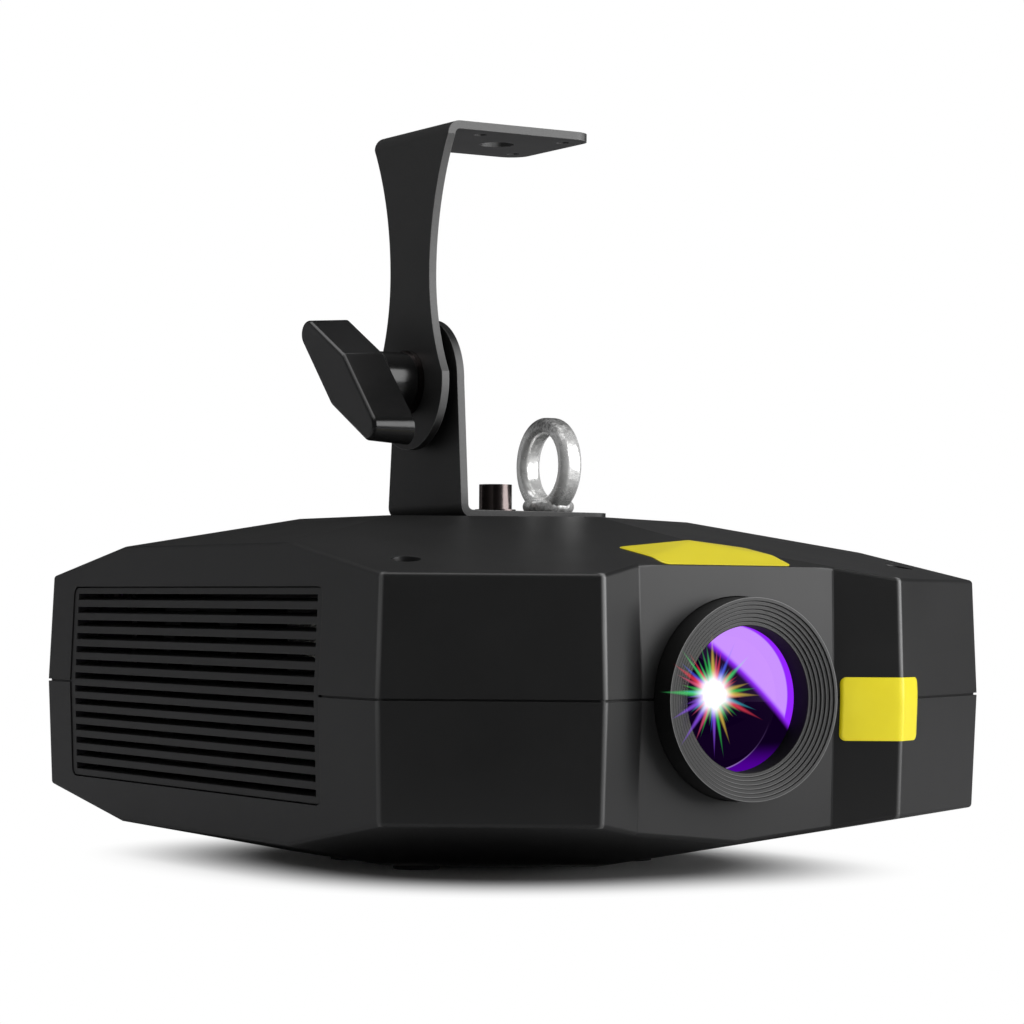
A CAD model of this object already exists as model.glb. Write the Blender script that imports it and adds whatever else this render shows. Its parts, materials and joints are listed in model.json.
# %% [markdown]
# A laser show projector: a faceted black housing of two moulded shells, louvred on both sides, with a
# stepped lens barrel in front, a row of sockets behind, and a bracket on the roof that tilts about a knob.
# The solids come from the CAD frame at their real size in metres, so this lesson adds what CAD leaves out:
# finishes, small printed and plated details, a floor, light and a camera. The frame comes first, and its
# box is kept, because nothing added later may grow the projector.

# %% Load the frame
import json
import math

import bmesh
import bpy
from mathutils import Matrix, Vector
from mathutils.bvhtree import BVHTree


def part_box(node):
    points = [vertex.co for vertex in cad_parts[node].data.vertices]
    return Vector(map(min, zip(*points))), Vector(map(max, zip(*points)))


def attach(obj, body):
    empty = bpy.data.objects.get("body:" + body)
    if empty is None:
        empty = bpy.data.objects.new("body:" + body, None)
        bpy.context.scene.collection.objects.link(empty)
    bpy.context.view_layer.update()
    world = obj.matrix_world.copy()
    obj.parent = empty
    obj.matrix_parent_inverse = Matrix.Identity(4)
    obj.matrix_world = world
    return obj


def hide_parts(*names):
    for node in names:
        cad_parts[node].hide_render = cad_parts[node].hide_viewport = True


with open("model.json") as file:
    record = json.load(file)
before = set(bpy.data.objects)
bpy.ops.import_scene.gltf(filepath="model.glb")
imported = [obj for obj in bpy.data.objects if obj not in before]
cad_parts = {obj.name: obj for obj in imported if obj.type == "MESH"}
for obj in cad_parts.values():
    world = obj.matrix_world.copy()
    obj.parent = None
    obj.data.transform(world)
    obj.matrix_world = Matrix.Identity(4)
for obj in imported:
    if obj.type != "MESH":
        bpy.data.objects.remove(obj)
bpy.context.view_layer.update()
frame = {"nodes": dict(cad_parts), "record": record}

nodes = frame["nodes"]
MM = 0.001

# %% [markdown]
# A finish is a small picture made of sums: noise times a depth, one minus a mask. Wired by hand, each sum
# is a node and two links. The class below wraps a socket, so that the same sum is written as Python, and
# its method node makes any other node: the node's settings go in first, then the values of its sockets.
# Geometry Nodes have the same Math nodes, so the class serves for shapes that follow a rule as well.

# %% A socket that can be reckoned with
def set_stops(ramp, colours):
    """Steps of equal length on a colour ramp, one for each colour."""
    ramp.interpolation = "CONSTANT"
    while len(ramp.elements) < len(colours):
        ramp.elements.new(1.0)
    for index, (stop, colour) in enumerate(zip(ramp.elements, colours)):
        stop.position = index / len(colours)
        stop.color = (*colour, 1.0)


class Wire:
    """One socket of a node tree. Sums on wires add Math nodes."""

    def __init__(self, tree, socket=None):
        self.tree = tree
        self.socket = socket

    def node(self, kind, settings=None, values=None, out=0):
        """Any node, by its type. The setting called stops fills a colour ramp."""
        made = self.tree.nodes.new(kind)
        for name, value in (settings or {}).items():
            if name == "stops":
                set_stops(made.color_ramp, value)
            else:
                setattr(made, name, value)
        for name, value in (values or {}).items():
            if isinstance(value, Wire):
                self.tree.links.new(value.socket, made.inputs[name])
            else:
                made.inputs[name].default_value = value
        return Wire(self.tree, made.outputs[out] if len(made.outputs) else None)

    def reckon(self, operation, *others):
        return self.node("ShaderNodeMath", {"operation": operation}, dict(enumerate((self, *others))))

    def vector(self, operation, other=None, out="Vector"):
        terms = {0: self} if other is None else {0: self, 1: other}
        return self.node("ShaderNodeVectorMath", {"operation": operation}, terms, out)

    def __add__(self, other):
        return self.reckon("ADD", other)

    def __sub__(self, other):
        return self.reckon("SUBTRACT", other)

    def __rsub__(self, other):
        return self.node("ShaderNodeMath", {"operation": "SUBTRACT"}, {0: other, 1: self})

    def __mul__(self, other):
        return self.reckon("MULTIPLY", other)

    def __truediv__(self, other):
        return self.reckon("DIVIDE", other)

    def __pow__(self, other):
        return self.reckon("POWER", other)

    __radd__ = __add__
    __rmul__ = __mul__

    def axis(self, name):
        """One of the three numbers of a vector."""
        return self.node("ShaderNodeSeparateXYZ", None, {0: self}, name)

    def point(self, x=0.0, y=0.0, z=0.0):
        """A vector in this tree, from three numbers or wires."""
        return self.node("ShaderNodeCombineXYZ", None, {"X": x, "Y": y, "Z": z})

    def ease(self, low, high):
        """0 below low, 1 above high and a soft step between."""
        return self.node("ShaderNodeMapRange", {"interpolation_type": "SMOOTHSTEP"},
                         {"Value": self, "From Min": low, "From Max": high})

    def blend(self, first, second):
        """The colour first where this is 0, second where it is 1."""
        return self.node("ShaderNodeMix", {"data_type": "RGBA"}, {0: self, 6: first, 7: second}, 2)

    def noise(self, size, detail=2.0):
        """Cloudy noise at this place whose blobs are about size metres across."""
        return self.node("ShaderNodeTexNoise", None,
                         {"Vector": self, "Scale": 1.0 / size, "Detail": detail, "Roughness": 0.55})


print("wires ready")

# %% [markdown]
# Every finish starts from the same three things: a material, the place on the piece in metres, and one
# Principled shader. What is the same all over a surface is set straight on the shader, and what varies is
# linked. Grain and orange peel are both bumps, a fine one and a coarse one, so one helper serves for each.
# Moulded and pressed edges are never quite sharp. A Bevel node bends the light over them as a small
# rounding would, and leaves the solids as CAD made them.

# %% Start a finish
EDGE_RAYS = 6


def start_finish(name, **constants):
    material = bpy.data.materials.new(name)
    material.use_nodes = True
    material.node_tree.nodes.clear()
    start = Wire(material.node_tree)
    values = {socket.replace("_", " "): value for socket, value in constants.items()}
    surface = start.node("ShaderNodeBsdfPrincipled", None, values, "BSDF")
    start.node("ShaderNodeOutputMaterial", None, {"Surface": surface})
    place = start.node("ShaderNodeTexCoord", out="Object")
    return material, surface.socket.node, place


def feed(shader, **wires):
    """Links wires to the shader's sockets, an underscore in a name standing for a space."""
    for socket, wire in wires.items():
        wire.tree.links.new(wire.socket, shader.inputs[socket.replace("_", " ")])


def grey(level, tint=(1.0, 1.0, 1.0)):
    return (level * tint[0], level * tint[1], level * tint[2], 1.0)


def rounded(wire, radius):
    """A normal that turns over each edge within a radius of it."""
    return wire.node("ShaderNodeBevel", {"samples": EDGE_RAYS}, {"Radius": radius})


def worn(wire, radius):
    """1 along the edges, where that normal leaves the face's own, and 0 on flat stretches."""
    face = wire.node("ShaderNodeNewGeometry", out="Normal")
    return (1.0 - rounded(wire, radius).vector("DOT_PRODUCT", face, "Value")).ease(0.003, 0.050)


def bump(height, depth, edge=0.0):
    """A normal from a height in steps of depth, over edges that look rounded by the edge radius."""
    values = {"Height": height, "Distance": depth}
    if edge:
        values["Normal"] = rounded(height, edge)
    return height.node("ShaderNodeBump", None, values)


print("finishes start from one Principled shader")

# %% [markdown]
# The shells, louvres, knob and sockets are injection mouldings. Their steel moulds are spark eroded, which
# leaves an even grain finer than a millimetre, and handling polishes it in faint clouds. A moulded finish
# is therefore two noises: the grain drives the bump, clouds drive the gloss, and both tint the colour. The
# housing's upright corners are rubbed paler, more so high up, and a distance from each corner finds them.

# %% Moulded plastic and rubber
CLOUD = 38 * MM
COOL = (1.0, 1.0, 1.02)
UP = Vector((0.0, 0.0, 1.0))
SIDE_CORNER = Vector((122.9 * MM, 134.0 * MM, 0.0))
SIDE_OUTWARD = Vector((0.869, 0.494, 0.0))
SIDE_SHARE = 0.36
NOSE_CORNER = Vector((60.0 * MM, 171.2 * MM, 0.0))
NOSE_OUTWARD = Vector((0.028, 1.0, 0.0))
NOSE_SHARE = 1.0
RUBBED = ((SIDE_CORNER, SIDE_OUTWARD, SIDE_SHARE), (NOSE_CORNER, NOSE_OUTWARD, NOSE_SHARE))
RUB_LOW = 40 * MM
RUB_HIGH = 95 * MM
RUB_CORE = 0.2 * MM
RUB_WIDTH = 1.3 * MM
RUB_NEAR = 3.0 * MM
RUB_FAR = 5.0 * MM


def rubbed_corners(place):
    """1 along the housing's upright corners, whose rounding is rubbed paler, and 0 elsewhere."""
    mirrored = place.vector("ABSOLUTE")
    found = []
    for corner, outward, share in RUBBED:
        near = mirrored.vector("SUBTRACT", corner)
        aside = near.vector("DOT_PRODUCT", outward.cross(UP), "Value").reckon("ABSOLUTE")
        inward = near.vector("DOT_PRODUCT", outward, "Value").reckon("ABSOLUTE")
        line = 1.0 - aside.ease(RUB_CORE, RUB_WIDTH)
        found.append(line * (1.0 - inward.ease(RUB_NEAR, RUB_FAR)) * share)
    high = place.axis("Z").ease(RUB_LOW, RUB_HIGH)
    return found[0].reckon("MAXIMUM", found[1]) * (high * 0.55 + 0.45)


def moulded(name, level, gloss, grain=0.45 * MM, depth=0.008 * MM, shine=0.5, edge=0.0, rubbed=0.0):
    material, shader, place = start_finish(name, Specular_IOR_Level=shine)
    pores = place.noise(grain, 3.0)
    cloud = place.noise(CLOUD, 4.0)
    colour = (pores * 0.35 + cloud * 0.65).blend(grey(level * 0.72, COOL), grey(level * 1.28, COOL))
    if rubbed:
        colour = (rubbed_corners(place) * (cloud * 0.6 + 0.6)).blend(colour, grey(rubbed))
    feed(shader, Base_Color=colour,
         Roughness=cloud * 0.10 + (gloss - 0.05),
         Normal=bump(pores, depth, edge))
    return material


mouldings = {
    "shell_plastic": dict(level=0.0095, gloss=0.41, shine=0.58, edge=0.2 * MM, rubbed=0.16),
    "louvre_plastic": dict(level=0.0110, gloss=0.43, shine=0.50, edge=0.4 * MM),
    "foot_rubber": dict(level=0.016, gloss=0.80, grain=0.8 * MM, depth=0.05 * MM, shine=0.2),
    "knob_plastic": dict(level=0.0070, gloss=0.19, grain=0.5 * MM, depth=0.006 * MM, shine=0.60,
                         edge=0.2 * MM),
    "liner_plastic": dict(level=0.014, gloss=0.70, grain=0.6 * MM, depth=0.05 * MM, shine=0.3),
    "socket_plastic": dict(level=0.014, gloss=0.38, grain=0.35 * MM, shine=0.45, edge=0.2 * MM),
    "fan_plastic": dict(level=0.0025, gloss=0.60, grain=0.5 * MM, depth=0.01 * MM, shine=0.08),
}
finishes = {name: moulded(name, **look) for name, look in mouldings.items()}
print("moulded:", ", ".join(finishes))

# %% [markdown]
# The bracket and the rear panel are bent sheet steel with a baked powder coat. Powder flows into a skin
# with a shallow orange peel a millimetre or two across, over a much finer speckle. Handling leaves the
# coat a little shinier in places, which one large cloud gives. Powder draws back from the bracket's cut
# edges, and the thin coat there is paler, so a mask takes the faces that look along the cut.

# %% Powder coat on sheet steel
CUT_FROM = 128 * MM
CUT_FULL = 140 * MM
SPECKLE = 0.35 * MM


def powder_coat(name, level, gloss, peel=1.3 * MM, depth=0.02 * MM, cut=0.0):
    material, shader, place = start_finish(name, Specular_IOR_Level=0.5)
    skin = place.noise(peel, 1.0)
    speckle = place.noise(SPECKLE, 2.0)
    cloud = place.noise(CLOUD, 3.0)
    relief = skin * 0.7 + speckle * 0.3
    coat = speckle.ease(0.35, 0.7).blend(grey(level * 0.7), grey(level * 1.5))
    if cut:
        facing = place.node("ShaderNodeTexCoord", out="Normal")
        edge = facing.axis("Y").reckon("ABSOLUTE").ease(0.70, 0.95)
        height = place.axis("Z").ease(CUT_FROM, CUT_FULL)
        coat = (edge * height).blend(coat, speckle.blend(grey(cut * 0.6), grey(cut * 1.4)))
    thin = worn(place, 0.5 * MM) * speckle.ease(0.30, 0.62)
    feed(shader, Base_Color=thin.blend(coat, grey(0.16)),
         Roughness=cloud * 0.10 + (gloss - 0.05),
         Normal=bump(relief, depth, 0.4 * MM))
    return material


finishes["bracket_coat"] = powder_coat("bracket_coat", 0.0150, 0.46, cut=0.10)
finishes["panel_coat"] = powder_coat("panel_coat", 0.018, 0.46, peel=1.2 * MM, depth=0.012 * MM)
print("powder coats: bracket_coat, panel_coat")

# %% [markdown]
# Plated and bare metals differ in three ways only: colour, gloss and how the surface was made. A turned
# screw has fine rings that blur into gloss, and galvanised sheet has crystals. One function takes the dent
# size and depth, and a second adds crystals.

# %% Metals
def plated(name, colour, gloss, dent, depth=0.01 * MM, spread=0.14):
    material, shader, place = start_finish(name, Metallic=1.0)
    dents = place.noise(dent, 3.0)
    film = place.noise(dent * 6, 3.0)
    feed(shader, Base_Color=film.blend(grey(0.72, colour), grey(1.0, colour)),
         Roughness=dents * spread + (gloss - spread / 2),
         Normal=bump(dents, depth))
    return material


def galvanised(name, colour, gloss, crystal):
    material, shader, place = start_finish(name, Metallic=0.9)
    cells = place.node("ShaderNodeTexVoronoi", {"feature": "F1"},
                       {"Vector": place, "Scale": 1.0 / crystal}, "Color")
    level = cells.node("ShaderNodeSeparateColor", None, {"Color": cells})
    feed(shader, Base_Color=level.blend(grey(0.8, colour), grey(1.0, colour)),
         Roughness=level * 0.15 + gloss,
         Normal=bump(level, 0.01 * MM))
    return material


platings = {
    "dark_screw": dict(colour=(0.20, 0.165, 0.160), gloss=0.22, dent=1.0 * MM),
    "socket_metal": dict(colour=(0.62, 0.61, 0.58), gloss=0.26, dent=0.8 * MM),
    "contact_brass": dict(colour=(0.83, 0.66, 0.34), gloss=0.22, dent=0.8 * MM),
    "bare_aluminium": dict(colour=(0.60, 0.60, 0.61), gloss=0.36, dent=0.6 * MM, depth=0.02 * MM),
    "dark_aluminium": dict(colour=(0.05, 0.05, 0.055), gloss=0.45, dent=0.5 * MM, depth=0.02 * MM),
    "mirror_coat": dict(colour=(0.93, 0.92, 0.94), gloss=0.03, dent=4.0 * MM, depth=0.0005 * MM,
                        spread=0.02),
}
finishes.update({name: plated(name, **look) for name, look in platings.items()})
finishes["chassis_steel"] = galvanised("chassis_steel", (0.30, 0.31, 0.32), 0.40, 7 * MM)
print("metals added,", len(finishes), "finishes so far")

# %% [markdown]
# The lifting eye is forged, tumbled and zinc plated. Forging leaves shallow dents a few millimetres
# across, scale pits the skin in patches, and the plating is bright on the high spots and smoky between. The
# crown and the foot of the ring are duller than its sides. Three noises of different sizes do it: waves for
# the dents, specks for the pits, and smoke, which decides where pits show and where the zinc is dull.

# %% Forged zinc
EYE_RADIUS = 18 * MM
EYE_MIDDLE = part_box("eyebolt")[1].z - EYE_RADIUS


def forged_zinc(name):
    material, shader, place = start_finish(name, Metallic=0.58, Specular_IOR_Level=0.9)
    share = (place.axis("Z") - EYE_MIDDLE) / EYE_RADIUS
    ends = share.ease(0.45, 0.95) * 0.75 + (1.0 - share.ease(-0.95, -0.40)) * 0.45
    waves = place.noise(3.4 * MM, 1.0)
    specks = place.noise(0.7 * MM, 2.0)
    smoke = (place.noise(1.3 * MM, 4.0) * 0.9 + ends * 0.7).ease(0.45, 1.15)
    pits = specks * smoke
    feed(shader, Base_Color=smoke.blend(grey(0.98, (1.0, 1.0, 0.99)), grey(0.12, (1.0, 0.99, 0.98))),
         Roughness=smoke * 0.18 + specks * 0.10 + 0.20,
         Normal=bump(waves + pits * 0.8, 0.30 * MM))
    return material


finishes["zinc_steel"] = forged_zinc("zinc_steel")
print("forged zinc on the lifting eye")

# %% [markdown]
# The lens barrel is a turned black moulding, so its fine marks run in rings about the lens axis. Rings
# follow one rule, the distance from the axis, so they come from the length of the place across the axis.
# The same distance finds the steps of the funnel: each has a dark wall and a thin pale lip.

# %% Rings on the lens barrel
glass_low, glass_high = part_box("lens_glass")
lens_axis = Vector(((glass_low.x + glass_high.x) / 2, 0.0, (glass_low.z + glass_high.z) / 2))
RING_PITCH = 0.3 * MM
THROAT = 24.5 * MM
BARREL_RADIUS = 34.0 * MM
STEP_WIDTH = 1.36 * MM
STEP_START = 0.04


def across(place, axis):
    """The place across the lens axis, measured from a point of it, and its length."""
    flat = place.vector("SUBTRACT", axis).vector("MULTIPLY", (1.0, 0.0, 1.0))
    return flat, flat.vector("LENGTH", out="Value")


def turned_plastic(name, level, gloss):
    material, shader, place = start_finish(name, Specular_IOR_Level=0.66)
    radius = across(place, lens_axis)[1]
    rings = (radius * (math.tau / RING_PITCH)).reckon("SINE")
    pores = place.noise(0.4 * MM, 2.0)
    step = ((BARREL_RADIUS - radius) / STEP_WIDTH + STEP_START).reckon("FRACT")
    wall = (1.0 - step.ease(0.06, 0.10)).reckon("MAXIMUM", step.ease(0.84, 0.95))
    lip = step.ease(0.08, 0.14) * (1.0 - step.ease(0.18, 0.32))
    land = pores.blend(grey(level * 0.8), grey(level * 1.2))
    deep = 1.0 - radius.ease(THROAT - 0.1 * MM, THROAT + 0.3 * MM)
    feed(shader, Base_Color=wall.blend(lip.blend(land, grey(level * 7.0)), grey(level * 0.15)),
         Roughness=pores * 0.1 + wall * 0.35 + deep * 0.5 + gloss,
         Normal=bump(rings * 0.5 + pores, 0.004 * MM, 0.3 * MM))
    return material


finishes["barrel_plastic"] = turned_plastic("barrel_plastic", 0.017, 0.36)
print("lens axis at", tuple(lens_axis))

# %% [markdown]
# The lens carries a violet coating, and with the beams on it glows: lilac over its upper right half, deeper
# in a crescent along the rim, and nearly black below a soft slanted edge. Low in the glass the rim behind
# it shows as a thin pale line, with a violet wall beyond that fades upward. Each border is a distance, from
# a slanted line or from a circle with its centre moved sideways, so the picture is a stack of soft steps.

# %% Coated glass
LILAC = (0.590, 0.290, 1.0, 1.0)
DEEP_VIOLET = (0.300, 0.020, 1.0, 1.0)
DARK_VIOLET = (0.004, 0.0, 0.012, 1.0)
WALL_VIOLET = (0.075, 0.0, 0.290, 1.0)
LINE_VIOLET = (0.300, 0.160, 0.520, 1.0)
SLANT = Vector((0.641, 0.0, 0.768))
SLANT_REACH = 6.9 * MM
CRESCENT_SHIFT = Vector((-2.6 * MM, 0.0, 1.0 * MM))
CRESCENT_RADIUS = 23.8 * MM
REAR_RIM_SHIFT = Vector((-10.0 * MM, 0.0, 0.0))
REAR_RIM_RADIUS = 24.2 * MM


def coated_glass(name):
    material, shader, place = start_finish(name, Metallic=1.0, Roughness=0.012, Emission_Strength=1.0)
    above = across(place, lens_axis)[0].vector("DOT_PRODUCT", SLANT, "Value") - SLANT_REACH
    sickle = across(place, lens_axis + CRESCENT_SHIFT)[1]
    crescent = sickle.ease(CRESCENT_RADIUS - 0.5 * MM, CRESCENT_RADIUS + 0.3 * MM)
    rear = across(place, lens_axis + REAR_RIM_SHIFT)[1]
    drop = place.axis("Z") - lens_axis.z
    low = 1.0 - drop.ease(-24 * MM, -14.5 * MM)
    wall = rear.ease(REAR_RIM_RADIUS - 0.1 * MM, REAR_RIM_RADIUS + 0.3 * MM) * low
    line = 1.0 - (rear - REAR_RIM_RADIUS).reckon("ABSOLUTE").ease(0.05 * MM, 0.35 * MM)
    line = line * (low * 0.8 + 0.1) * (1.0 - drop.ease(-14 * MM, -7 * MM))
    dusk = line.blend(wall.blend(DARK_VIOLET, WALL_VIOLET), LINE_VIOLET)
    deep = crescent.reckon("MAXIMUM", 1.0 - above.ease(0.2 * MM, 2.2 * MM))
    glow = deep.blend(LILAC, DEEP_VIOLET)
    film = place.noise(6 * MM, 2.0)
    feed(shader, Base_Color=film.blend((0.002, 0.001, 0.003, 1.0), (0.004, 0.002, 0.006, 1.0)),
         Emission_Color=above.ease(-1.6 * MM, 1.2 * MM).blend(dusk, glow))
    return material


finishes["coated_glass"] = coated_glass("coated_glass")
print("coated glass, front at y", round(glass_low.y, 4))

# %% [markdown]
# The smoked window over the display and the green circuit boards are the last two finishes of the frame.
# A window is a dark, very glossy plastic with a faint haze; a board is lacquer over copper tracks, which
# a brick pattern gives at the right scale. Then the record's material slots say which node wears what.

# %% Smoked window, circuit boards and the dressing of the frame
TRACK_SCALE = 14 * MM


def smoked_window(name):
    material, shader, place = start_finish(name, Specular_IOR_Level=0.5)
    haze = place.noise(9 * MM, 3.0)
    feed(shader, Base_Color=haze.blend((0.004, 0.004, 0.006, 1.0), (0.010, 0.010, 0.014, 1.0)),
         Roughness=haze * 0.06 + 0.05)
    return material


def circuit_board(name):
    material, shader, place = start_finish(name, Specular_IOR_Level=0.5)
    tracks = place.node("ShaderNodeTexBrick", {"offset": 0.37, "squash": 0.6},
                        {"Vector": place, "Scale": 1.0 / TRACK_SCALE, "Mortar Size": 0.035}, "Fac")
    feed(shader, Base_Color=tracks.blend((0.010, 0.070, 0.025, 1.0), (0.030, 0.160, 0.060, 1.0)),
         Roughness=tracks * 0.1 + 0.32,
         Normal=bump(tracks, 0.03 * MM))
    return material


finishes["screen_plastic"] = smoked_window("screen_plastic")
finishes["board_laminate"] = circuit_board("board_laminate")
for part in frame["record"]["subparts"]:
    target = nodes[part["node"]]
    target.data.materials.clear()
    target.data.materials.append(finishes[part["material_slot"]])

# %% [markdown]
# Small things that repeat are made by rules instead of by hand. A rule is a Geometry Nodes tree: it has
# named sizes, makes one shape, sets it on points and ends in real faces with a finish. The helper below
# starts a tree, and a second one runs it and keeps its result as a plain mesh, because a live modifier and
# its instances would not travel with the model.

# %% Rules and pieces
SOCKETS = {float: "NodeSocketFloat", int: "NodeSocketInt", Vector: "NodeSocketVector"}


def make_piece(name, mesh, body, material):
    """A finished piece at the origin, riding on a body and taking a slot of the record."""
    piece = bpy.data.objects.new(name, mesh)
    bpy.context.scene.collection.objects.link(piece)
    mesh.materials.clear()
    mesh.materials.append(material)
    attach(piece, body)
    print(name, "has", len(mesh.polygons), "faces")
    return piece


def start_rule(name, **sizes):
    """A tree with a geometry input and one named input for each size; gives a wire for each."""
    tree = bpy.data.node_groups.new(name, "GeometryNodeTree")
    tree.interface.new_socket("Points", in_out="INPUT", socket_type="NodeSocketGeometry")
    for label, value in sizes.items():
        tree.interface.new_socket(label, in_out="INPUT", socket_type=SOCKETS[type(value)])
    tree.interface.new_socket("Shape", in_out="OUTPUT", socket_type="NodeSocketGeometry")
    return tree, {label: Wire(tree).node("NodeGroupInput", out=label) for label in ("Points", *sizes)}


def end_rule(tree, shape, material):
    real = shape.node("GeometryNodeRealizeInstances", None, {0: shape})
    dressed = real.node("GeometryNodeSetMaterial", None, {"Geometry": real, "Material": material})
    dressed.node("NodeGroupOutput", None, {0: dressed})
    return tree


def run_rule(name, rule, sizes, body, material, places=()):
    """Runs a rule on points at the given places and keeps the result as a plain piece."""
    tree = rule(material)
    seed = bpy.data.meshes.new(name)
    seed.from_pydata([tuple(place) for place in places], [], [])
    holder = bpy.data.objects.new(name + "_rule", seed)
    bpy.context.scene.collection.objects.link(holder)
    modifier = holder.modifiers.new("rule", "NODES")
    modifier.node_group = tree
    for item in tree.interface.items_tree:
        if item.in_out == "INPUT" and item.name in sizes:
            modifier[item.identifier] = sizes[item.name]
    graph = bpy.context.evaluated_depsgraph_get()
    mesh = bpy.data.meshes.new_from_object(holder.evaluated_get(graph), preserve_all_data_layers=True,
                                           depsgraph=graph)
    bpy.data.objects.remove(holder)
    return make_piece(name, mesh, body, material)


print("rules ready")

# %% [markdown]
# The rules share a few steps: copies of a shape on points, points in a row that are then sent to their own
# places, shapes joined, and shapes turned to face the rear. Most of them sit on fittings of the rear panel,
# so two helpers find the middle of a node and of its rearmost face.

# %% Steps that rules share
BACKWARD = (-math.pi / 2, 0.0, 0.0)


def instances(points, shape, **values):
    """Copies of a shape on points, with their Rotation and Scale where these are given."""
    return shape.node("GeometryNodeInstanceOnPoints", None, {"Points": points, "Instance": shape, **values})


def points_at(wire, count, places):
    """As many points as count says, each moved to its own place."""
    line = wire.node("GeometryNodeMeshLine", None, {"Count": count, "Offset": (0.0, 0.0, 0.0)})
    return line.node("GeometryNodeSetPosition", None, {"Geometry": line, "Position": places})


def joined(first, *others):
    made = first.node("GeometryNodeJoinGeometry", None, {0: first})
    for other in others:
        first.tree.links.new(other.socket, made.socket.node.inputs[0])
    return made


def turned(shape, turn):
    return shape.node("GeometryNodeTransform", None, {"Geometry": shape, "Rotation": turn})


def chance(wire, low, high, seed):
    """A number for each point between two bounds, the same at every run."""
    return wire.node("FunctionNodeRandomValue", {"data_type": "FLOAT"}, {2: low, 3: high, "Seed": seed}, 1)


def middle(name):
    low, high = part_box(name)
    return (low + high) / 2


def rear_face(name, lift=0.0):
    """The middle of a fitting's rearmost face."""
    return Vector((middle(name).x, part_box(name)[1].y + lift, middle(name).z))


print("rear panel's middle at", tuple(rear_face("rear_panel")))

# %% [markdown]
# A glow in the lens shows that the beams are on. On the real thing the beam's spot is a white core with
# coloured rays, which look like thin needles of light in the mouth of the barrel. A ray is a needle-shaped
# sheet, and the rule turns each copy by its number and gives it a length, a width and a hue of its own from
# seeded chance. Each vertex keeps how far along and across the needle it is, and the finish fades by that.

# %% Rays of the beam
SPOT = Vector((-16.85 * MM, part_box("lens_barrel")[0].y - 0.30 * MM, 67.0 * MM))
GLOW_SEED = 11
RAY_SWAY = 0.42
HUES = [
    (1.0, 0.05, 0.09), (0.05, 0.72, 0.08), (0.08, 0.14, 1.0), (1.0, 0.12, 0.26), (0.08, 0.80, 0.20),
    (0.32, 0.10, 1.0), (0.85, 0.60, 0.08), (0.04, 0.60, 0.10), (0.05, 0.45, 0.60), (0.95, 0.06, 0.10),
]
ray_sizes = {"Count": 46, "Shortest": 10.5 * MM, "Longest": 22.5 * MM, "Thinnest": 2.6 * MM,
             "Widest": 5.0 * MM, "Stagger": 0.004 * MM, "Spot": SPOT}


def stored(shape, label, value):
    return shape.node("GeometryNodeStoreNamedAttribute", {"data_type": "FLOAT", "domain": "POINT"},
                      {"Geometry": shape, "Name": label, "Value": value})


def ray_rule(material):
    tree, size = start_rule("beam_rays", **ray_sizes)
    start = size["Count"]
    sheet = start.node("GeometryNodeMeshGrid", None,
                       {"Size X": 1.0, "Size Y": 1.0, "Vertices X": 13, "Vertices Y": 5})
    place = start.node("GeometryNodeInputPosition")
    along = place.axis("X") + 0.5
    side = place.axis("Y")
    sheet = stored(stored(sheet, "along", along), "aside", side * 2.0)
    taper = start.point(along, side * (1.0 - along))
    needle = sheet.node("GeometryNodeSetPosition", None, {"Geometry": sheet, "Position": taper})
    number = start.node("GeometryNodeInputIndex")
    back = start.point(y=number * size["Stagger"])
    points = points_at(start, size["Count"], size["Spot"].vector("ADD", back))
    points = stored(points, "hue", chance(start, 0.0, 1.0, GLOW_SEED))
    angle = (number + chance(start, -RAY_SWAY, RAY_SWAY, GLOW_SEED + 1)) * math.tau / size["Count"]
    long = chance(start, size["Shortest"], size["Longest"], GLOW_SEED + 2)
    wide = chance(start, size["Thinnest"], size["Widest"], GLOW_SEED + 3)
    turn = start.point(math.pi / 2, angle)
    scale = start.point(long, wide, 1.0)
    return end_rule(tree, instances(points, needle, Rotation=turn, Scale=scale), material)


def light_finish(name, strength):
    """A finish that only glows."""
    return start_finish(name, Specular_IOR_Level=0.0, Roughness=1.0, Emission_Strength=strength,
                        Base_Color=grey(0.0))


def ray_finish(name):
    material, shader, place = light_finish(name, 1.3)
    along, aside, hue = (place.node("ShaderNodeAttribute", {"attribute_name": label}, None, "Fac")
                         for label in ("along", "aside", "hue"))
    colour = place.node("ShaderNodeValToRGB", {"stops": HUES}, {0: hue}, "Color")
    edge = 1.0 - aside.reckon("ABSOLUTE").ease(0.0, 1.0)
    feed(shader, Emission_Color=along.ease(0.14, 0.40).blend(grey(1.0), colour),
         Alpha=edge * (1.0 - along) * 0.9)
    return material


run_rule("beam_rays", ray_rule, ray_sizes, "housing", ray_finish("beam_rays"))

# %% [markdown]
# The core of the glow is a round sheet in front of the rays, white in the middle and clear at its edge. A
# disc of rings is made in a loop, and the distance from its middle fades it.

# %% Core of the beam
CORE_RADIUS = 3.0 * MM
CORE_SPREAD = 10.5 * MM
CORE_STANDS = Vector((0.0, 0.2 * MM, 0.0))
CORE_RINGS = 8
CORE_SPOKES = 48


def core_finish(name):
    material, shader, place = light_finish(name, 1.6)
    distance = across(place, SPOT)[1]
    halo = (1.0 - distance.ease(CORE_RADIUS * 0.7, CORE_SPREAD)) ** 2.2
    solid = 1.0 - distance.ease(CORE_RADIUS * 0.5, CORE_RADIUS * 1.7)
    feed(shader, Emission_Color=solid.blend((0.86, 0.80, 1.0, 1.0), grey(1.0)),
         Alpha=(solid + halo * 0.75).reckon("MINIMUM", 1.0))
    return material


def circle(centre, radius, count):
    """Points round a centre in x and z."""
    turns = [math.tau * i / count for i in range(count)]
    return [centre + radius * Vector((math.cos(turn), 0.0, math.sin(turn))) for turn in turns]


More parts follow.
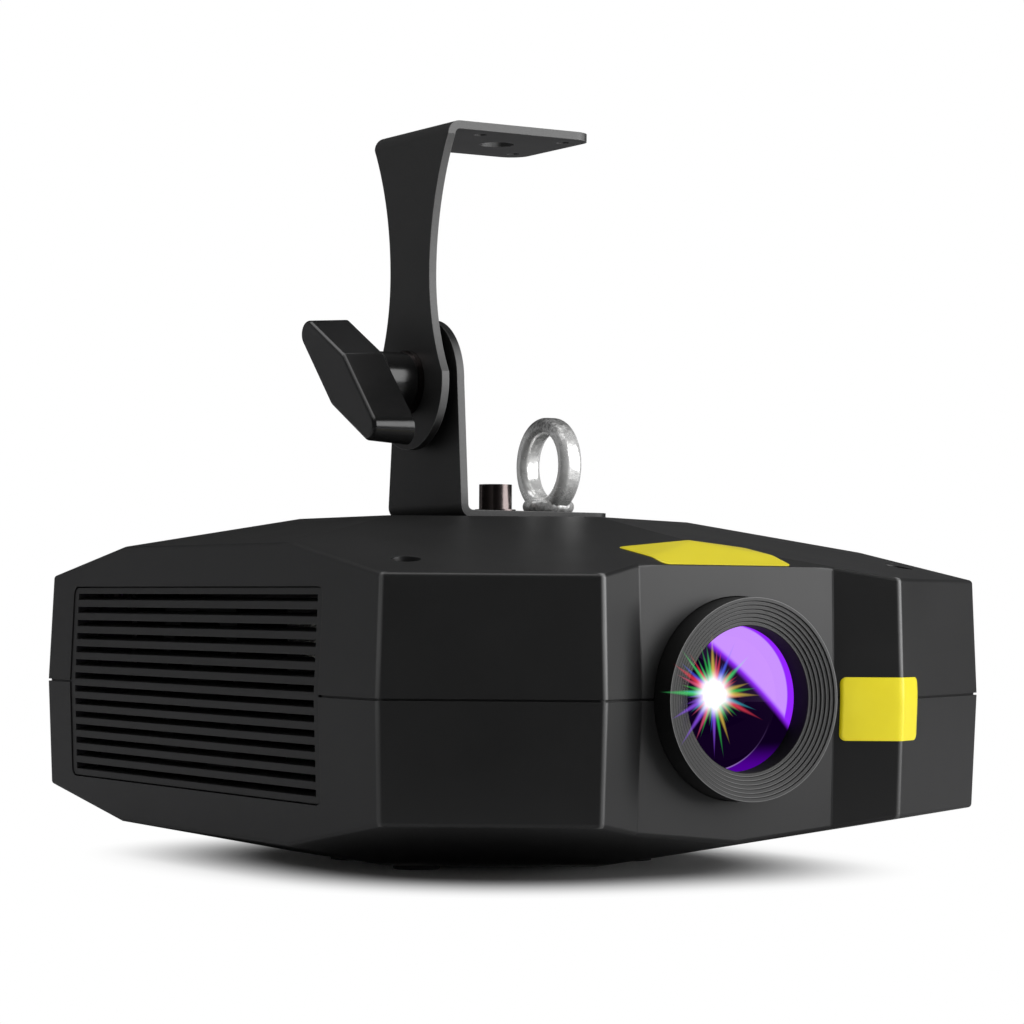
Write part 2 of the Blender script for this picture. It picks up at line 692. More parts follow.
def mesh_of(shape, name):
    """A plain mesh from a bmesh, which is then let go."""
    mesh = bpy.data.meshes.new(name)
    shape.to_mesh(mesh)
    shape.free()
    return mesh


def disc_mesh(name, centre, radius):
    """A flat disc of rings that faces the front."""
    shape = bmesh.new()
    hub = shape.verts.new(centre)
    rings = []
    for step in range(1, CORE_RINGS + 1):
        ring = circle(centre, radius * step / CORE_RINGS, CORE_SPOKES)
        rings.append([shape.verts.new(point) for point in ring])
    for i in range(CORE_SPOKES):
        after = (i + 1) % CORE_SPOKES
        shape.faces.new((hub, rings[0][i], rings[0][after]))
        for inner, outer in zip(rings, rings[1:]):
            shape.faces.new((inner[i], outer[i], outer[after], inner[after]))
    return mesh_of(shape, name)


core_disc = disc_mesh("beam_core", SPOT - CORE_STANDS, CORE_SPREAD)
make_piece("beam_core", core_disc, "housing", core_finish("beam_core"))
print("the core faces", tuple(core_disc.polygons[0].normal))

# %% [markdown]
# Above the lens the roof's ridge is planed off by one more small facet, a triangle that rises from the
# straight top of the lens face. A copy of the upper shell is merged, cut by that plane and closed again
# with flat triangles, and it stands in for the solid shell. The plane starts at the top corners of the
# lens face, which a ray dropped on the shell finds.

# %% Front facet of the roof
FACET_SLOPE = math.radians(17.6)
OVERHEAD = 0.3
FACET_CORNER = Vector((38.6 * MM, -159.0 * MM, OVERHEAD))
MERGE = 0.002 * MM


def surface_of(*meshes):
    """The faces of some meshes as one tree that rays can be cast on."""
    corners, faces = [], []
    for mesh in meshes:
        start = len(corners)
        corners += [vertex.co.copy() for vertex in mesh.vertices]
        faces += [[start + i for i in polygon.vertices] for polygon in mesh.polygons]
    return BVHTree.FromPolygons(corners, faces)


def widest_loop(edges):
    """The edges of the loop that reaches furthest in x."""
    left, loops = set(edges), []
    while left:
        loop, front = set(), [left.pop()]
        while front:
            edge = front.pop()
            loop.add(edge)
            near = {other for vertex in edge.verts for other in vertex.link_edges if other in left}
            left -= near
            front += near
        loops.append(loop)
    return max(loops, key=lambda loop: max(vertex.co.x for edge in loop for vertex in edge.verts))


def faceted_shell():
    mesh = nodes["top_shell"].data.copy()
    corner = surface_of(mesh).ray_cast(FACET_CORNER, -UP)[0]
    if "custom_normal" in mesh.attributes:
        mesh.attributes.remove(mesh.attributes["custom_normal"])
    shape = bmesh.new()
    shape.from_mesh(mesh)
    bmesh.ops.remove_doubles(shape, verts=shape.verts, dist=MERGE)
    parts = [*shape.verts, *shape.edges, *shape.faces]
    outward = Vector((0.0, -math.sin(FACET_SLOPE), math.cos(FACET_SLOPE)))
    cut = bmesh.ops.bisect_plane(shape, geom=parts, dist=MERGE, plane_co=corner, plane_no=outward,
                                 clear_outer=True)
    edges = [item for item in cut["geom_cut"] if isinstance(item, bmesh.types.BMEdge)]
    bmesh.ops.triangle_fill(shape, use_beauty=True, edges=list(widest_loop(edges)), normal=outward)
    for face in shape.faces:
        face.smooth = False
    print("facet starts at", tuple(round(value, 4) for value in corner))
    shape.to_mesh(mesh)
    shape.free()
    return mesh


top_shell = make_piece("faceted_top_shell", faceted_shell(), "housing",
                       finishes["shell_plastic"])
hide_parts("top_shell")

# %% [markdown]
# Two plain vinyl patches sit on the shells, one on the roof above the lens and one that folds round the
# nose beside it. Vinyl lies on whatever is under it, so each patch is a grid whose points are dropped on
# the shells along a straight line, and lifted by the film's thickness. Rows crowd near the ends of a patch,
# where its corners are round.

# %% Vinyl film
PATCH_ROUND = 2.2 * MM
PATCH_LIFT = 0.25 * MM
FILM_THICKNESS = PATCH_LIFT * 0.8
PATCH_COLUMNS = 28
PATCH_ROWS = 24
shells = surface_of(top_shell.data, nodes["bottom_shell"].data)


def inset(depth, radius):
    """How far a round corner stands in at a depth below the patch's edge."""
    rest = max(radius - depth, 0.0)
    return radius - math.sqrt(radius ** 2 - rest ** 2)


def spaced(low, high):
    """Values from low to high, closer together near both ends."""
    shares = [(1.0 - math.cos(math.pi * row / PATCH_ROWS)) / 2 for row in range(PATCH_ROWS + 1)]
    return [low + (high - low) * share for share in shares]


def on_shells(origin, way):
    """Where a ray meets the shells, lifted by the film."""
    hit, normal, _, _ = shells.ray_cast(origin, way)
    return hit + normal * PATCH_LIFT


def vinyl(name):
    material, shader, place = start_finish(name, Specular_IOR_Level=0.5, Coat_Roughness=0.12)
    fleck = place.noise(0.5 * MM, 3.0)
    fade = place.noise(14 * MM, 3.0)
    feed(shader, Base_Color=fade.blend((0.68, 0.57, 0.003, 1.0), (0.80, 0.69, 0.010, 1.0)),
         Roughness=fade * 0.12 + 0.30,
         Coat_Weight=fade * 0.3,
         Normal=bump(fleck, 0.004 * MM))
    return material


def patch_piece(name, rows, material):
    shape = bmesh.new()
    grid = [[shape.verts.new(point) for point in row] for row in rows]
    for low, high in zip(grid, grid[1:]):
        for i in range(len(low) - 1):
            face = shape.faces.new((low[i], low[i + 1], high[i + 1], high[i]))
            face.smooth = True
    piece = make_piece(name, mesh_of(shape, name), "housing", material)
    skin = piece.modifiers.new("film", "SOLIDIFY")
    skin.thickness = FILM_THICKNESS
    skin.offset = -1.0


yellow_vinyl = vinyl("yellow_vinyl")
print("vinyl is", FILM_THICKNESS / MM, "mm thick")

# %% [markdown]
# The roof patch is a rectangle seen from above, so its points fall straight down. The roof's facets bend it.

# %% Roof patch
ROOF_WEST = -29 * MM
ROOF_EAST = 23 * MM
ROOF_FRONT = -158.6 * MM
ROOF_BACK = -130 * MM


def roof_rows(west, east, front, back):
    """Points dropped on the roof, row by row from the front."""
    rows = []
    for y in spaced(front, back):
        trim = inset(min(y - front, back - y), PATCH_ROUND)
        step = (east - west - 2 * trim) / PATCH_COLUMNS
        line = [Vector((west + trim + step * column, y, OVERHEAD)) for column in range(PATCH_COLUMNS + 1)]
        rows.append([on_shells(place, -UP) for place in line])
    return rows


patch_piece("roof_patch", roof_rows(ROOF_WEST, ROOF_EAST, ROOF_FRONT, ROOF_BACK), yellow_vinyl)

# %% [markdown]
# The nose patch folds over an upright corner of the shells. At each height, rays from outside find the
# shells' outline, and the row's points are laid along it by length, with a column on the fold. Rows near
# the parting groove are left out, so the film bridges the groove, as it does on the real housing.

# %% Nose patch
FOLD_COLUMNS = 14
FOLD_RAYS = PATCH_COLUMNS * 2
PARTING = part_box("bottom_shell")[1].z
GROOVE_HALF = 1.6 * MM
NOSE_LOW = 50.4 * MM
NOSE_HIGH = 72.0 * MM
NOSE_START = Vector((41.0, -162.1, 0.0)) * MM
NOSE_FOLD = Vector((60.0, -172.0, 0.0)) * MM
NOSE_END = Vector((71.6, -165.1, 0.0)) * MM
NOSE_INSIDE = Vector((36.0, -100.0, 0.0)) * MM
OUTSIDE = 0.05


def nose_line(z):
    """The shells' outline at a height, from the patch's start past the fold to its end, with its run."""
    points = []
    for first, last in ((NOSE_START, NOSE_FOLD), (NOSE_FOLD, NOSE_END)):
        for step in range(FOLD_RAYS):
            spot = first.lerp(last, step / FOLD_RAYS)
            away = (spot - NOSE_INSIDE).normalized()
            points.append(on_shells(Vector((spot.x, spot.y, z)) + away * OUTSIDE, -away))
    runs = [0.0]
    for before, after in zip(points, points[1:]):
        runs.append(runs[-1] + (after - before).length)
    return points, runs


def at_run(points, runs, run):
    """The point of a polyline at a length along it."""
    for i in range(len(runs) - 1):
        if run <= runs[i + 1] or i == len(runs) - 2:
            share = (run - runs[i]) / max(runs[i + 1] - runs[i], 1e-9)
            return points[i].lerp(points[i + 1], min(max(share, 0.0), 1.0))


def nose_rows(low, high):
    rows = []
    for z in spaced(low, high):
        if abs(z - PARTING) < GROOVE_HALF:
            continue
        points, runs = nose_line(z)
        trim = inset(min(z - low, high - z), PATCH_ROUND)
        fold = runs[len(runs) // 2]
        rest = runs[-1] - trim - fold
        before = [trim + (fold - trim) * step / FOLD_COLUMNS for step in range(FOLD_COLUMNS)]
        beyond = [fold + rest * step / FOLD_COLUMNS for step in range(FOLD_COLUMNS + 1)]
        rows.append([at_run(points, runs, run) for run in before + beyond])
    return rows


patch_piece("nose_patch", nose_rows(NOSE_LOW, NOSE_HIGH), yellow_vinyl)

# %% [markdown]
# Behind, the show socket has a black insert with two rows of contacts. The rule needs two counts, a pitch
# and the gap between the rows: two lines of points, a short rod on each. It runs twice, once for the brass
# collars and once, thinner and a hair taller, for the dark holes inside them. The insert is a flat sheet
# with sloping sides, which one loop draws.

# %% Show socket
show_middle = rear_face("show_socket")
SHOW_HALF_LONG = 18.9 * MM
SHOW_HALF_TALL = 3.6 * MM
SHOW_SLOPE = math.tan(math.radians(10.0))
INSERT_LIFT = 0.06 * MM
ROD_SIDES = 20
contact_sizes = {"Long": 13, "Short": 12, "Pitch": 2.76 * MM, "Gap": 2.84 * MM, "Radius": 0.95 * MM,
                 "Depth": 0.30 * MM, "Middle": show_middle}
hole_sizes = {**contact_sizes, "Radius": 0.5 * MM, "Depth": 0.36 * MM}


def contact_rule(material):
    tree, size = start_rule("show_contacts", **contact_sizes)
    start = size["Pitch"]
    rod = start.node("GeometryNodeMeshCylinder", None,
                     {"Vertices": ROD_SIDES, "Radius": size["Radius"], "Depth": size["Depth"]})
    rows = []
    for label, side in (("Long", 0.5), ("Short", -0.5)):
        first = start.point((size[label] - 1.0) * size["Pitch"] * -0.5, 0.0, size["Gap"] * side)
        rows.append(start.node("GeometryNodeMeshLine", None,
                               {"Count": size[label], "Offset": start.point(size["Pitch"]),
                                "Start Location": size["Middle"].vector("ADD", first)}))
    return end_rule(tree, instances(joined(*rows), turned(rod, BACKWARD)), material)


def sheet_piece(name, outlines, y, material):
    """Flat outlines in x and z on the housing, as sheets that face the rear."""
    shape = bmesh.new()
    for outline in outlines:
        face = shape.faces.new([shape.verts.new((x, y, z)) for x, z in outline])
        face.normal_update()
        if face.normal.y < 0.0:
            face.normal_flip()
    return make_piece(name, mesh_of(shape, name), "housing", material)


slope = SHOW_HALF_TALL * SHOW_SLOPE
insert = [(show_middle.x + sx * (SHOW_HALF_LONG + sz * slope), show_middle.z + sz * SHOW_HALF_TALL)
          for sx, sz in ((-1, -1), (1, -1), (1, 1), (-1, 1))]
sheet_piece("show_insert", [insert], show_middle.y + INSERT_LIFT,
            finishes["socket_plastic"])
run_rule("show_collars", contact_rule, contact_sizes, "housing", finishes["contact_brass"])
run_rule("show_holes", contact_rule, hole_sizes, "housing", finishes["fan_plastic"])

# %% [markdown]
# The two round signal sockets have black insulators with three holes on a circle. A filled curve makes a
# sheet of that kind at once: an outer circle, and a small circle on each point of a three-sided one. The
# rule sets the sheet on every place it is given, one in the mouth of the one socket and one deep in the
# other.

# %% Insulators of the signal sockets
INPUT_FLOOR = 139.0 * MM
INPUT_LIFT = 0.06 * MM
OUTPUT_LIFT = 0.05 * MM
PINS = 3
PIN_SIDES = 24
RIM_SIDES = 48
insulator_sizes = {"Radius": 7.9 * MM, "Pin circle": 3.5 * MM, "Pin radius": 1.3 * MM}


def ring_curve(wire, sides, radius):
    return wire.node("GeometryNodeCurvePrimitiveCircle", {"mode": "RADIUS"},
                     {"Resolution": sides, "Radius": radius})


def insulator_rule(material):
    tree, size = start_rule("insulators", **insulator_sizes)
    start = size["Radius"]
    corners = turned(ring_curve(start, PINS, size["Pin circle"]), (0.0, 0.0, -math.pi / 2))
    holes = instances(corners, ring_curve(start, PIN_SIDES, size["Pin radius"]))
    holes = holes.node("GeometryNodeRealizeInstances", None, {0: holes})
    outline = joined(ring_curve(start, RIM_SIDES, size["Radius"]), holes)
    sheet = start.node("GeometryNodeFillCurve", None, {"Curve": outline})
    return end_rule(tree, instances(size["Points"], turned(sheet, BACKWARD)), material)


output_place = rear_face("dmx_output", OUTPUT_LIFT)
input_place = rear_face("dmx_input")
input_place.y = INPUT_FLOOR + INPUT_LIFT
insulators = run_rule("signal_insulators", insulator_rule, insulator_sizes, "housing",
                      finishes["socket_plastic"], [output_place, input_place])
print("insulators face", tuple(round(value, 2) for value in insulators.data.polygons[0].normal))

# %% [markdown]
# Fittings are held by small cross-head screws, two on each signal socket and two on the inlet, and the rear
# panel by four. A head is a low cone with a flat top. One rule sets the heads and one the dark crosses on
# lists of places, so that every screw on the panel matches. The crosses turn by chance, as hands leave
# them. They show on the panel's own screws. In the small heads they lie at half depth, so the heads hide
# them: raised by another half of the depth, they would show there as well.

# %% Screw heads and crosses
HEAD_SIDES = 28
HEAD_CROWN = 0.72
head_sizes = {"Radius": 2.0 * MM, "Depth": 0.9 * MM}
cross_sizes = {"Long": 2.3 * MM, "Wide": 0.5 * MM, "Depth": 0.24 * MM}
CROSS_SEED = 5
SIGNAL_REACH = Vector((9.6 * MM, 0.0, -12.1 * MM))
INLET_REACH = Vector((20.0 * MM, 0.0, 0.0))
PANEL_SCREW_X = 52 * MM
PANEL_SCREW_LOW = 31 * MM
PANEL_SCREW_HIGH = 99 * MM


def head_rule(material):
    tree, size = start_rule("screw_heads", **head_sizes)
    start = size["Radius"]
    head = start.node("GeometryNodeMeshCone", None,
                      {"Vertices": HEAD_SIDES, "Side Segments": 1, "Radius Top": size["Radius"] * HEAD_CROWN,
                       "Radius Bottom": size["Radius"], "Depth": size["Depth"]})
    return end_rule(tree, instances(size["Points"], turned(head, BACKWARD)), material)


def cross_rule(material):
    tree, size = start_rule("screw_crosses", **cross_sizes)
    start = size["Long"]
    bars = []
    for long, tall in ((size["Long"], size["Wide"]), (size["Wide"], size["Long"])):
        box = start.point(long, size["Depth"], tall)
        bars.append(start.node("GeometryNodeMeshCube", None, {"Size": box}))
    turn = start.point(y=chance(start, 0.0, math.pi / 2, CROSS_SEED))
    return end_rule(tree, instances(size["Points"], joined(*bars), Rotation=turn), material)


fitting_screws = []
for name, reach in (("dmx_input", SIGNAL_REACH), ("dmx_output", SIGNAL_REACH), ("power_inlet", INLET_REACH)):
    fitting_screws += [rear_face(name) - reach, rear_face(name) + reach]
screw_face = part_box("rear_panel_screws")[1].y
panel_screws = [Vector((x, screw_face, z)) for x in (-PANEL_SCREW_X, PANEL_SCREW_X)
                for z in (PANEL_SCREW_LOW, PANEL_SCREW_HIGH)]
half_depth = Vector((0.0, head_sizes["Depth"] / 2, 0.0))
crosses = [place + half_depth for place in fitting_screws] + panel_screws
run_rule("fitting_screws", head_rule, head_sizes, "housing", finishes["dark_screw"],
         fitting_screws)
run_rule("screw_crosses", cross_rule, cross_sizes, "housing", finishes["fan_plastic"],
         crosses)

# %% [markdown]
# The fuse cap is ribbed so that fingers can turn it. Ribs sit on a circle, one thin bar for each point,
# turned by the point's number, so the rule is a ring of points and one box.

# %% Fuse cap
FUSE_STAND = 7.0 * MM
FUSE_FORWARD = 0.4 * MM
FUSE_X = 24 * MM
FUSE_Z = 43 * MM
fuse_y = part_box("fuse_holder")[1].y - FUSE_STAND / 2 + FUSE_FORWARD
fuse_sizes = {"Count": 24, "Radius": 7.45 * MM, "Rib": 0.55 * MM, "Length": FUSE_STAND - 2.0 * MM,
              "Middle": Vector((FUSE_X, fuse_y, FUSE_Z))}


def fuse_rule(material):
    tree, size = start_rule("fuse_ribs", **fuse_sizes)
    start = size["Radius"]
    angle = start.node("GeometryNodeInputIndex") * math.tau / size["Count"]
    spoke = start.point(angle.reckon("COSINE") * size["Radius"], 0.0, angle.reckon("SINE") * size["Radius"])
    points = points_at(start, size["Count"], size["Middle"].vector("ADD", spoke))
    box = start.point(size["Rib"], size["Length"], size["Rib"])
    bar = start.node("GeometryNodeMeshCube", None, {"Size": box})
    turn = start.point(y=angle * -1.0 + math.pi / 4)
    return end_rule(tree, instances(points, bar, Rotation=turn), material)


run_rule("fuse_ribs", fuse_rule, fuse_sizes, "housing", finishes["socket_plastic"])

# %% [markdown]
# The display behind its smoked window shows three digits made of lit bars. A bar has pointed ends, so that
# neighbours meet at a mitre, and one outline serves for level and upright bars. The display is flat, so
# the outlines are in x and z. From behind, x runs to the left, so a digit's columns count with falling x.

# %% Digits in the display
SHOWN = "001"
DIGIT_TALL = 9.0 * MM
DIGIT_WIDE = 5.0 * MM
DIGIT_PITCH = 8.0 * MM
DIGIT_LIFT = 0.04 * MM
BAR = 0.9 * MM
BAR_GAP = BAR * 0.7
LIT = {"0": "abcdef", "1": "bc"}
# Each bar runs from one corner to another, as a column from the left and a half row from the foot.
ENDS = {"a": ((0, 2), (1, 2)), "b": ((1, 1), (1, 2)), "c": ((1, 0), (1, 1)),
        "d": ((0, 0), (1, 0)), "e": ((0, 0), (0, 1)), "f": ((0, 1), (0, 2))}


def pointed_bar(start, end):
    way = (end - start).normalized() * (BAR / 2)
    side = Vector((-way.y, way.x))
    return [start, start + way + side, end - way + side, end, end - way - side, start + way - side]


def digit_bars(digit, left, foot):
    """The lit bars of a digit whose left side, seen from behind, is at x = left."""
    bars = []
    for name in LIT[digit]:
        start, end = (Vector((left - column * DIGIT_WIDE, foot + row * DIGIT_TALL / 2))
                      for column, row in ENDS[name])
        gap = (end - start).normalized() * BAR_GAP
        bars.append(pointed_bar(start + gap, end - gap))
    return bars


def lit_digits(name):
    material, shader, place = start_finish(name, Roughness=0.4, Emission_Strength=1.0,
                                           Base_Color=(0.10, 0.004, 0.004, 1.0))
    uneven = place.noise(3 * MM, 1.0)
    feed(shader, Emission_Color=uneven.blend((0.75, 0.03, 0.02, 1.0), (1.0, 0.06, 0.04, 1.0)))
    return material


window_middle = rear_face("display_window", DIGIT_LIFT)
digits = []
for index, digit in enumerate(SHOWN):
    left = window_middle.x + DIGIT_PITCH * (1 - index) + DIGIT_WIDE / 2
    digits += digit_bars(digit, left, window_middle.z - DIGIT_TALL / 2)
sheet_piece("display_digits", digits, window_middle.y, lit_digits("lit_digits"))

# %% [markdown]
# The panel carries plain marks in white ink: an arrow up, an arrow down, a bar and a diamond below the four
# buttons, and two ticks beside the key lock, where its key points. A screen prints them in a film too thin
# to see from the side, so each mark is a flat outline just above the coat.

# %% Printed marks
PANEL_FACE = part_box("rear_panel")[1].y
INK = 0.45 * MM
INK_LIFT = 0.03 * MM
MARK_HALF = 1.1 * MM
MARK_DROP = 5.6 * MM
TICK_START = 10.4 * MM
TICK_END = 12.6 * MM
TICK_TURNS = (90.0, 180.0)
SLIM = INK / MARK_HALF
button_marks = (
    ((-1, -1), (1, -1), (0, 1)),
    ((-1, 1), (1, 1), (0, -1)),
    ((-1, -SLIM), (1, -SLIM), (1, SLIM), (-1, SLIM)),
    ((-1, 0), (0, 1), (1, 0), (0, -1)),
)


def stroke(start, end, wide):
    """A straight ink line as a four-sided outline."""
    way = (end - start).normalized() * (wide / 2)
    side = Vector((-way.y, way.x))
    return [start + side, end + side, end - side, start - side]


ink = moulded("panel_ink", 0.55, 0.55, grain=0.3 * MM, depth=0.004 * MM, shine=0.3)
marks = []
for index, outline in enumerate(button_marks):
    spot = middle(f"menu_button_{index + 1}")
    marks.append([(spot.x + x * MARK_HALF, spot.z - MARK_DROP + z * MARK_HALF) for x, z in outline])
lock = middle("key_barrel").xz
for turn in TICK_TURNS:
    ray = Vector((math.cos(math.radians(turn)), math.sin(math.radians(turn))))
    marks.append(stroke(lock + ray * TICK_START, lock + ray * TICK_END, INK))
sheet_piece("panel_marks", marks, PANEL_FACE + INK_LIFT, ink)

# %% [markdown]
# The rocker carries the usual bar and ring, moulded in and filled with white. They ride with the rocker, so
# they are dropped on its own slanted face and belong to its body.

# %% Marks on the rocker
rocker_skin = surface_of(nodes["rocker_switch"].data)
BEHIND = 0.3
MARK_OFFSET = Vector((0.0, 0.0, 4.0 * MM))
MARK_LIFT = 0.04 * MM
BAR_HALF_WIDE = 0.35 * MM
BAR_HALF_TALL = 1.5 * MM
RING_INNER = 1.0 * MM
RING_OUTER = 1.6 * MM
RING_SIDES = 24


def on_rocker(place):
    hit, normal, _, _ = rocker_skin.ray_cast(Vector((place.x, BEHIND, place.z)), Vector((0.0, -1.0, 0.0)))
    return hit + normal * MARK_LIFT


def rocker_marks(name):
    shape = bmesh.new()
    upper = middle("rocker_switch") + MARK_OFFSET
    lower = middle("rocker_switch") - MARK_OFFSET
    bar = [upper + Vector((sx * BAR_HALF_WIDE, 0.0, sz * BAR_HALF_TALL))
           for sx, sz in ((1, -1), (-1, -1), (-1, 1), (1, 1))]
    shape.faces.new([shape.verts.new(on_rocker(place)) for place in bar])
    inner, outer = ([shape.verts.new(on_rocker(place)) for place in circle(lower, radius, RING_SIDES)]
                    for radius in (RING_INNER, RING_OUTER))
    for i in range(RING_SIDES):
        after = (i + 1) % RING_SIDES
        shape.faces.new((inner[i], inner[after], outer[after], outer[i]))
    shape.normal_update()
    for face in shape.faces:
        if face.normal.y < 0.0:
            face.normal_flip()
    return mesh_of(shape, name)


make_piece("rocker_marks", rocker_marks("rocker_marks"), "rocker", ink)

# %% [markdown]
# The studio is a pale light table that runs into a white backdrop. The floor is matt, and it keeps the
# shadow under and round the housing. Further out, the camera and reflections see plain white in its place,
# so that the table has no edge. The world is white to the eye and in reflections, and a little weaker as
# light.

# %% Floor and backdrop
FLOOR_RADIUS = 6.0
FLOOR_SIDES = 96
FLOOR_LEVEL = 0.90
PAPER_GRAIN = 0.02
ROOM_LIGHT = 0.72
SHADE_HALF_X = 0.112
SHADE_HALF_Y = 0.125
SHADE_SQUARENESS = 2.5
SHADE_FULL = 0.66
SHADE_GONE = 1.30


def ray_kinds(wire):
    """1 for rays from the camera, and 1 for those in reflections and through glass."""
    camera, gloss, through = (wire.node("ShaderNodeLightPath", out=f"Is {kind} Ray")
                              for kind in ("Camera", "Glossy", "Transmission"))
    return camera, (gloss + through).reckon("MINIMUM", 1.0)


def floor_finish():
    material, shader, place = start_finish("floor_paper", Specular_IOR_Level=0.0, Roughness=1.0)
    tree = place.tree
    camera, mirrored = ray_kinds(place)
    paper = place.noise(PAPER_GRAIN, 2.0)
    feed(shader, Base_Color=paper.blend(grey(FLOOR_LEVEL * 0.99), grey(FLOOR_LEVEL)))
    reach_x = (place.axis("X") / SHADE_HALF_X).reckon("ABSOLUTE") ** SHADE_SQUARENESS
    reach_y = (place.axis("Y") / SHADE_HALF_Y).reckon("ABSOLUTE") ** SHADE_SQUARENESS
    away = ((reach_x + reach_y) ** (1.0 / SHADE_SQUARENESS)).ease(SHADE_FULL, SHADE_GONE)
    white = place.node("ShaderNodeEmission", None, {"Color": grey(1.0), "Strength": 1.0})
    mixed = place.node("ShaderNodeMixShader", None,
                       {0: away * (camera + mirrored), 1: Wire(tree, shader.outputs["BSDF"]), 2: white})
    output = next(node for node in tree.nodes if node.type == "OUTPUT_MATERIAL")
    tree.links.new(mixed.socket, output.inputs["Surface"])
    return material


bpy.ops.mesh.primitive_circle_add(vertices=FLOOR_SIDES, radius=FLOOR_RADIUS, fill_type="NGON")
floor = bpy.context.object
floor.name = "floor"
floor.data.materials.append(floor_finish())

world = bpy.data.worlds.new("studio")
bpy.context.scene.world = world
world.use_nodes = True
world.node_tree.nodes.clear()
room = Wire(world.node_tree)
to_camera, to_mirror = ray_kinds(room)
seen = (to_camera + to_mirror).reckon("MINIMUM", 1.0)
sky = room.node("ShaderNodeBackground", None,
                {"Color": grey(1.0), "Strength": seen * (1.0 - ROOM_LIGHT) + ROOM_LIGHT})
sky.node("ShaderNodeOutputWorld", None, {"Surface": sky})
print("floor and world ready")

# %% [markdown]
# A large softbox stands in front on the right, and leans. It lights the lens face, the bracket's cut edges
# and the lifting eye. It is wide and weak instead of small and strong, because the roof mirrors it toward
# the back. A second, weaker one hangs above. Lamps are not seen by the camera.

# %% Lamps
BOX_DISTANCE = 1.2
FRONT_WAY = (46.0, 16.5)
FRONT_EDGE = ((18.6, 26.0), (58.3, -8.9))
FRONT_SIZE = (1.55, 0.90)
FRONT_POWER = 16.0
TOP_PLACE = Vector((-0.35, 0.1, 1.5))
TOP_TARGET = Vector((0.0, 0.0, 0.1))
TOP_SIDE = Vector((1.0, 0.0, 0.0))
TOP_SIZE = (1.4, 1.4)
TOP_POWER = 4.0


def softbox(name, place, target, side, size, power):
    data = bpy.data.lights.new(name, "AREA")
    data.shape = "RECTANGLE"
    data.size, data.size_y = size
    data.energy = power
    lamp = bpy.data.objects.new(name, data)
    bpy.context.scene.collection.objects.link(lamp)
    back = (place - target).normalized()
    along = (side - side.dot(back) * back).normalized()
    up = back.cross(along)
    lamp.matrix_world = Matrix((along, up, back)).transposed().to_4x4()
    lamp.matrix_world.translation = place
    lamp.visible_camera = False


def toward(azimuth, elevation, distance, start):
    """A point seen from start, the azimuth counted from the front of the projector to its right."""
    turn, rise = math.radians(azimuth), math.radians(elevation)
    way = Vector((math.sin(turn) * math.cos(rise), -math.cos(turn) * math.cos(rise), math.sin(rise)))
    return start + distance * way


lens_middle = Vector((lens_axis.x, glass_low.y, lens_axis.z))
edge_left, edge_right = (toward(*end, BOX_DISTANCE, lens_middle) for end in FRONT_EDGE)
softbox("front_softbox", toward(*FRONT_WAY, BOX_DISTANCE, lens_middle), lens_middle, edge_right - edge_left,
        FRONT_SIZE, FRONT_POWER)
softbox("top_softbox", TOP_PLACE, TOP_TARGET, TOP_SIDE, TOP_SIZE, TOP_POWER)
print("lamps:", [item.name for item in bpy.data.lights])

# %% [markdown]
# Black plastic shows what stands round it, so a photographer of dark goods puts up cards. Upright ones on
# an arc are nearly black in front and grey in steps behind, and two flat ones lie on the table, a large
# grey one and a dark one in front on the left. Only reflections see them: they cast no shadow and give no
# light. Their heights leave the white of the room above them for the metal.

# %% Cards that only reflections see
CARD_RADIUS = 1.6
CARD_STEPS = 48
CARD_GLOSS = 0.9
FLOOR_CARD_PLACE = Vector((0.0, -0.2, 0.004))
FLOOR_CARD_SIZE = (5.0, 4.4)
FLOOR_CARD_LEVEL = 0.30
DARK_CARD_WAY = -31.0
DARK_CARD_LIFT = Vector((0.0, 0.0, 0.006))
DARK_CARD_SIZE = (0.8, 1.5)
DARK_CARD_LEVEL = 0.03
upright_cards = {
    "front_card": dict(first=-112.0, last=100.0, height=5.0, level=0.02),
    "right_back_card": dict(first=100.0, last=145.0, height=2.6, level=0.11),
    "back_card": dict(first=145.0, last=196.0, height=2.6, level=0.035),
    "left_card": dict(first=196.0, last=248.0, height=1.9, level=0.22),
}


def put_up(card, level):
    """Paints a card and hides it from all but reflections."""
    card.data.materials.append(moulded(card.name, level, CARD_GLOSS, shine=0.0))
    card.visible_camera = card.visible_diffuse = card.visible_shadow = False


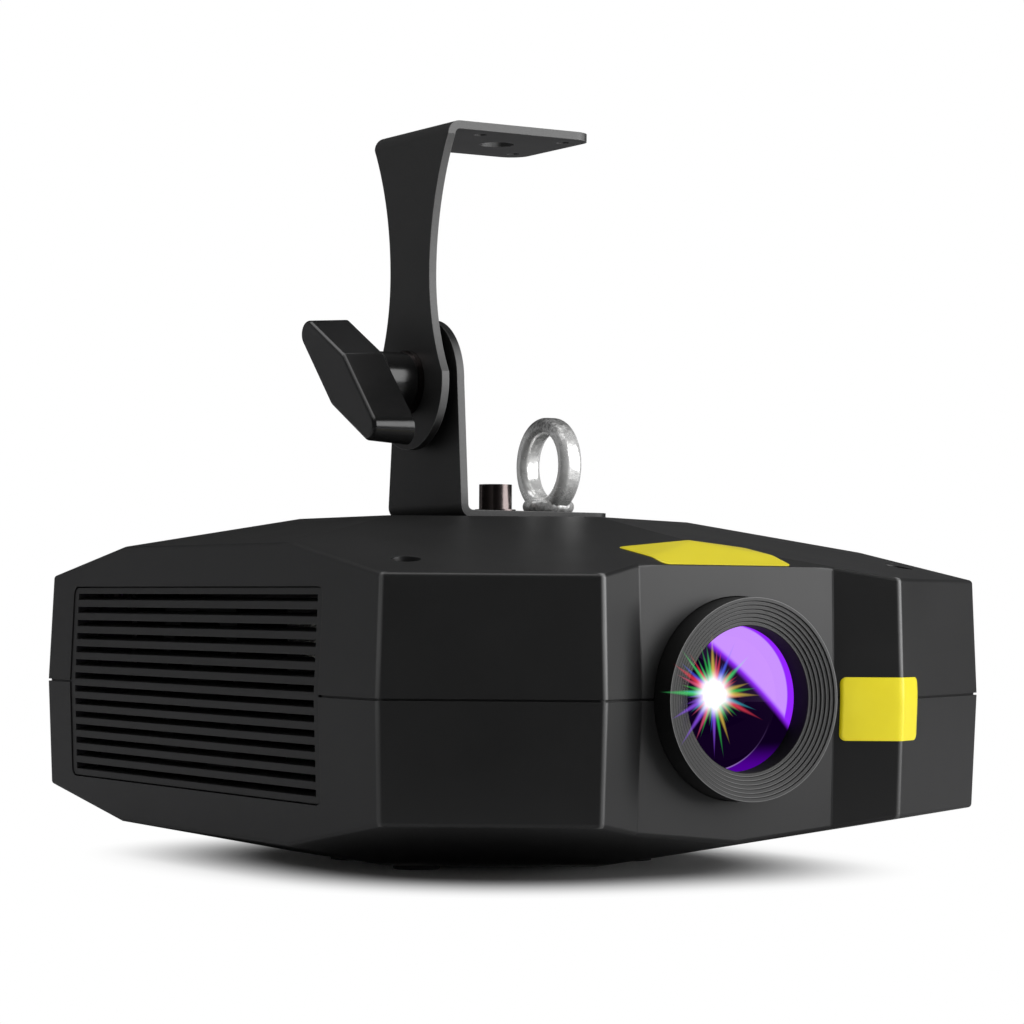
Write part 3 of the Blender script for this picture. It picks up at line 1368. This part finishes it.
def ring_card(name, first, last, height, level):
    """An upright card on an arc about the projector, between two azimuths counted as for the lamps."""
    shape = bmesh.new()
    columns = []
    for step in range(CARD_STEPS + 1):
        azimuth = first + (last - first) * step / CARD_STEPS
        foot = toward(azimuth, 0.0, CARD_RADIUS, Vector((0.0, 0.0, 0.0)))
        columns.append((shape.verts.new(foot), shape.verts.new(foot + UP * height)))
    for (low, high), (low_after, high_after) in zip(columns, columns[1:]):
        shape.faces.new((low, low_after, high_after, high))
    card = bpy.data.objects.new(name, mesh_of(shape, name))
    bpy.context.scene.collection.objects.link(card)
    put_up(card, level)


def floor_sheet(name, place, turn, size, level):
    """A flat card a little above the floor."""
    bpy.ops.mesh.primitive_plane_add(size=1.0, location=place, rotation=(0.0, 0.0, turn))
    card = bpy.context.object
    card.name = name
    card.scale = (*size, 1.0)
    put_up(card, level)


dark_card_place = toward(DARK_CARD_WAY, 0.0, 1.0, DARK_CARD_LIFT)
floor_sheet("floor_card", FLOOR_CARD_PLACE, 0.0, FLOOR_CARD_SIZE, FLOOR_CARD_LEVEL)
floor_sheet("dark_floor_card", dark_card_place, math.radians(DARK_CARD_WAY), DARK_CARD_SIZE, DARK_CARD_LEVEL)
for name, look in upright_cards.items():
    ring_card(name, **look)

# %% [markdown]
# The camera repeats the photograph's view: a long lens on a square frame, a little above table height and
# to the left of the lens. Its axes come from the view's right, up and sight directions.

# %% Camera
CAMERA_PLACE = Vector((-0.6144, -1.0313, 0.0958))
CAMERA_RIGHT = Vector((0.85608, -0.51679, 0.007781))
CAMERA_UP = Vector((-0.021721, -0.020931, 0.999545))
SIGHT = Vector((0.51639, 0.85586, 0.029143))
CAMERA_LENS = 111.77
SENSOR = 36.0
FAR_CLIP = 50.0

view = bpy.data.cameras.new("view")
view.lens = CAMERA_LENS
view.sensor_width = SENSOR
view.sensor_fit = "HORIZONTAL"
view.clip_end = FAR_CLIP
camera = bpy.data.objects.new("view", view)
camera.matrix_world = Matrix((CAMERA_RIGHT, CAMERA_UP, -SIGHT)).transposed().to_4x4()
camera.matrix_world.translation = CAMERA_PLACE
bpy.context.scene.collection.objects.link(camera)
bpy.context.scene.camera = camera
bpy.context.scene.view_settings.view_transform = "Standard"
print("camera at", tuple(camera.matrix_world.translation))
